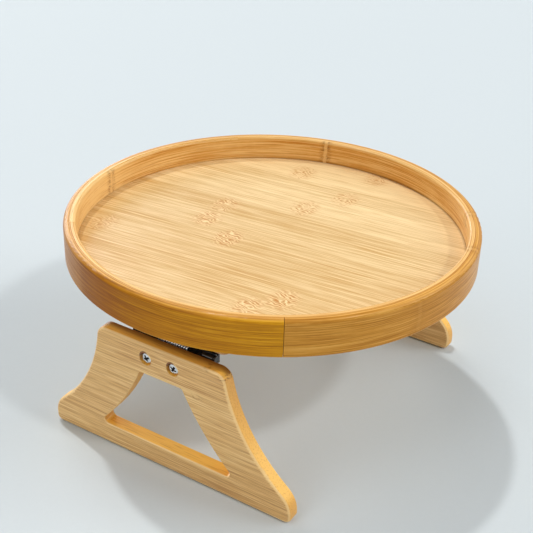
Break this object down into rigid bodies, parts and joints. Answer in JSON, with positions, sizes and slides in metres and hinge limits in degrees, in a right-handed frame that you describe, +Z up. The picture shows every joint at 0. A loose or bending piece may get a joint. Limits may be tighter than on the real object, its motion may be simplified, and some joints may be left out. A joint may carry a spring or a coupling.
{
  "type": "sofa arm tray",
  "caption": "Round bamboo tray with a raised rim on a crossboard, clipped over a sofa arm by sprung, flared bamboo wings on steel hinges.",
  "frame": {"origin": "centre of the crossboard's underside, the face that rests on the sofa arm", "axes": "+Z up out of the tray, X along the hinge pins and the sofa arm, Y across the sofa arm with the front wing at -Y"},
  "size_m": [0.28, 0.28, 0.1383],
  "materials": {
    "bamboo_floor": "satin clear lacquer",
    "bamboo_rim": "satin clear lacquer",
    "bamboo_board": "satin clear lacquer",
    "bamboo_wing": "satin clear lacquer",
    "black_steel": "satin black",
    "black_screw": "satin black",
    "pin_steel": "satin black",
    "spring_wire": "dark oiled wire",
    "zinc_screw": "zinc plated",
    "chrome_screw": "polished"
  },
  "bodies": {
    "tray": {"tray_floor": "bamboo_floor", "rim_outer_band": "bamboo_rim", "rim_inner_band": "bamboo_rim", "crossboard": "bamboo_board", "crossboard_screws": "zinc_screw", "front_hinge_base": "black_steel", "front_base_screws": "black_screw", "front_hinge_pin": "pin_steel", "front_spring": "spring_wire", "back_hinge_base": "black_steel", "back_base_screws": "black_screw", "back_hinge_pin": "pin_steel", "back_spring": "spring_wire"},
    "front_clamp_wing": {"front_wing": "bamboo_wing", "front_wing_leaf": "black_steel", "front_wing_screws": "chrome_screw"},
    "back_clamp_wing": {"back_wing": "bamboo_wing", "back_wing_leaf": "black_steel", "back_wing_screws": "chrome_screw"}
  },
  "joints": [
    {"name": "front_wing_hinge", "type": "hinge", "parent": "tray", "child": "front_clamp_wing", "pos_m": [0, -0.1115, -0.012], "axis": [-1, 0, 0], "range_deg": [-86, 26], "stiffness_Nm_per_rad": 0.3, "springref_deg": 1.03, "deforming": ["front_spring"]},
    {"name": "back_wing_hinge", "type": "hinge", "parent": "tray", "child": "back_clamp_wing", "pos_m": [0, 0.1115, -0.012], "axis": [1, 0, 0], "range_deg": [-86, 26], "stiffness_Nm_per_rad": 0.3, "springref_deg": 1.03, "deforming": ["back_spring"]}
  ]
}
